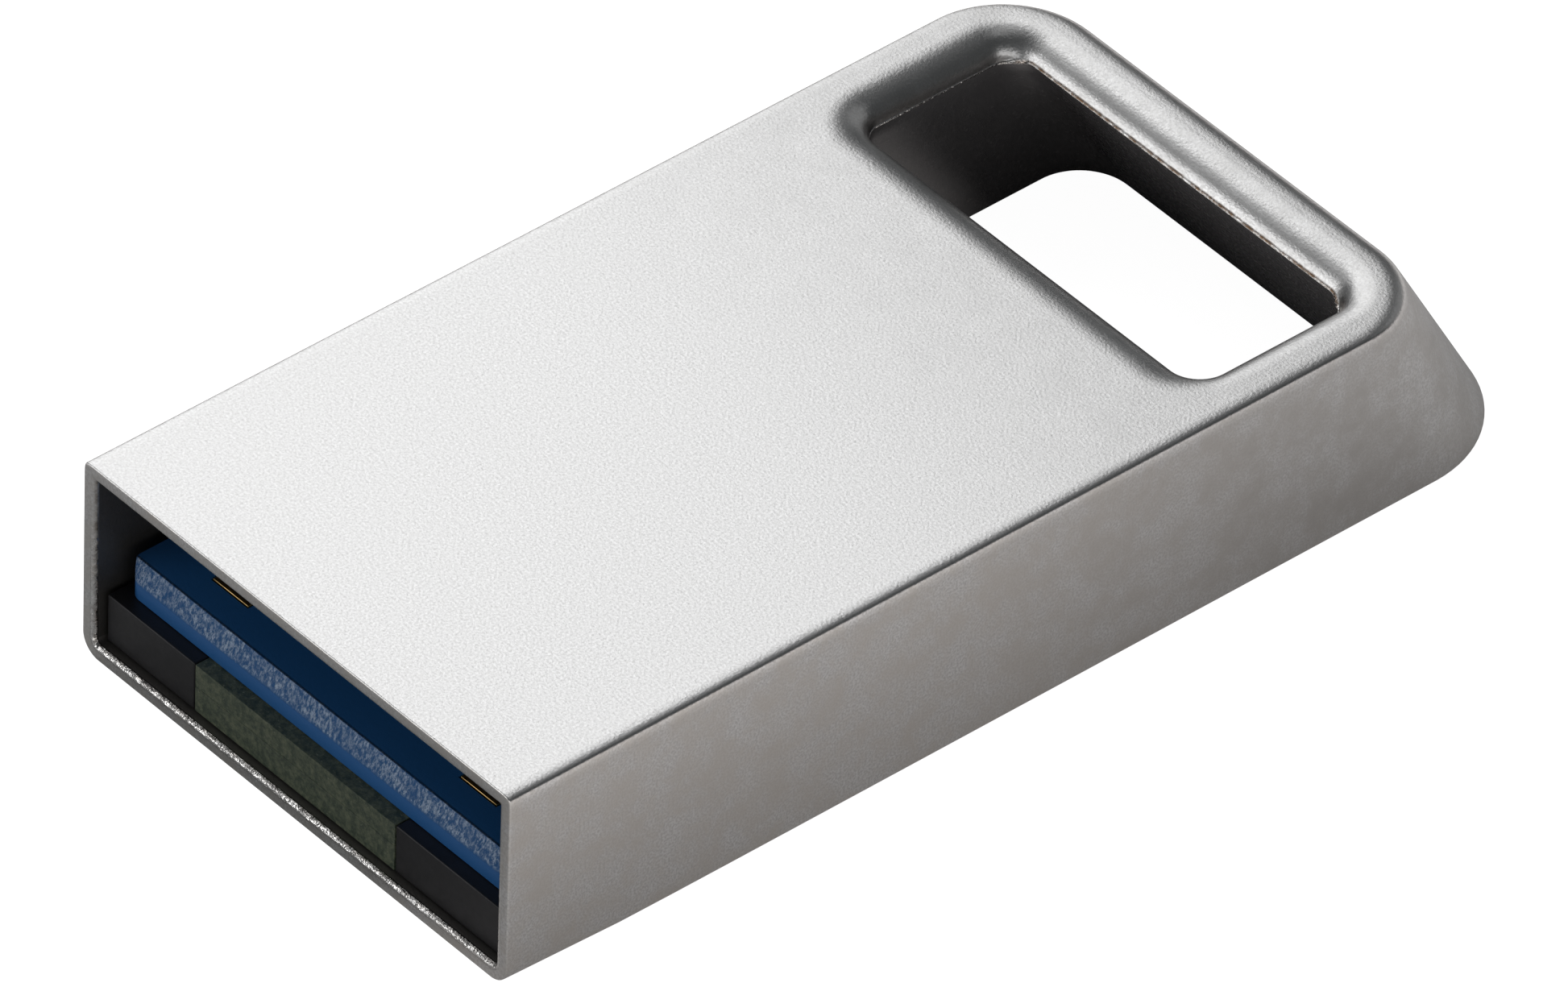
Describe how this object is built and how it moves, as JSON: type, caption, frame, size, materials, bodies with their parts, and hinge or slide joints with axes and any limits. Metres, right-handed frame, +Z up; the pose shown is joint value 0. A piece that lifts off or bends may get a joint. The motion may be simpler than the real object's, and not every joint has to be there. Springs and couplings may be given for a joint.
{
  "type": "usb flash drive",
  "caption": "Tiny one-piece metal USB flash drive: an open plug shell with a blue tongue at one end and a slanted ring with a lanyard hole at the other.",
  "frame": {"origin": "centre of the flat foot, midway along and across the drive", "axes": "+Y from the open mouth of the plug to the ring end, +Z up with the tongue's contacts facing up, +X across"},
  "size_m": [0.012, 0.025, 0.0045],
  "materials": {
    "shell_metal": "fine bead-blasted stainless steel",
    "liner_plastic": "smooth black moulding",
    "carrier_plastic": "black moulding",
    "board_laminate": "dark green solder mask over glass laminate",
    "spacer_laminate": "dark green laminate with a sawn edge",
    "package_epoxy": "matt black epoxy",
    "insulating_film": "amber polyimide film",
    "tongue_plastic": "blue glass-filled moulding",
    "holder_plastic": "black glass-filled moulding",
    "adhesive": "set clear adhesive",
    "pad_gold": "gold-plated copper",
    "regulator_epoxy": "matt black epoxy with tinned leads",
    "inductor_ferrite": "moulded grey ferrite",
    "crystal_can": "plated lid on a ceramic base",
    "capacitor_ceramic": "tan ceramic with tinned ends",
    "resistor_glaze": "black glaze with tinned ends",
    "array_epoxy": "dark epoxy",
    "contact_gold": "gold-plated spring bronze"
  },
  "bodies": {
    "housing": {"metal_housing": "shell_metal", "ring_liner": "liner_plastic", "board_carrier": "carrier_plastic", "circuit_board": "board_laminate", "front_spacer": "spacer_laminate", "memory_package": "package_epoxy", "controller_package": "package_epoxy", "insulating_film": "insulating_film", "tongue": "tongue_plastic", "contact_holder": "holder_plastic", "adhesive_pad": "adhesive", "solder_pads": "pad_gold", "voltage_regulator": "regulator_epoxy", "power_inductor": "inductor_ferrite", "crystal": "crystal_can", "capacitors": "capacitor_ceramic", "resistors": "resistor_glaze", "surge_arrays": "array_epoxy", "power_contact": "contact_gold", "data_minus_contact": "contact_gold", "data_plus_contact": "contact_gold", "ground_contact": "contact_gold"},
    "receive_minus_spring": {"receive_minus_contact": "contact_gold"},
    "receive_plus_spring": {"receive_plus_contact": "contact_gold"},
    "drain_spring": {"drain_contact": "contact_gold"},
    "transmit_minus_spring": {"transmit_minus_contact": "contact_gold"},
    "transmit_plus_spring": {"transmit_plus_contact": "contact_gold"}
  },
  "joints": [
    {"name": "receive_minus_press", "type": "hinge", "parent": "housing", "child": "receive_minus_spring", "pos_m": [-0.004, -0.00035, 0.00198], "axis": [1, 0, 0], "range_deg": [0, 6], "stiffness_Nm_per_rad": 0.016},
    {"name": "receive_plus_press", "type": "hinge", "parent": "housing", "child": "receive_plus_spring", "pos_m": [-0.002, -0.00035, 0.00198], "axis": [1, 0, 0], "range_deg": [0, 6], "stiffness_Nm_per_rad": 0.016},
    {"name": "drain_press", "type": "hinge", "parent": "housing", "child": "drain_spring", "pos_m": [0, -0.00035, 0.00198], "axis": [1, 0, 0], "range_deg": [0, 6], "stiffness_Nm_per_rad": 0.016},
    {"name": "transmit_minus_press", "type": "hinge", "parent": "housing", "child": "transmit_minus_spring", "pos_m": [0.002, -0.00035, 0.00198], "axis": [1, 0, 0], "range_deg": [0, 6], "stiffness_Nm_per_rad": 0.016},
    {"name": "transmit_plus_press", "type": "hinge", "parent": "housing", "child": "transmit_plus_spring", "pos_m": [0.004, -0.00035, 0.00198], "axis": [1, 0, 0], "range_deg": [0, 6], "stiffness_Nm_per_rad": 0.016}
  ]
}
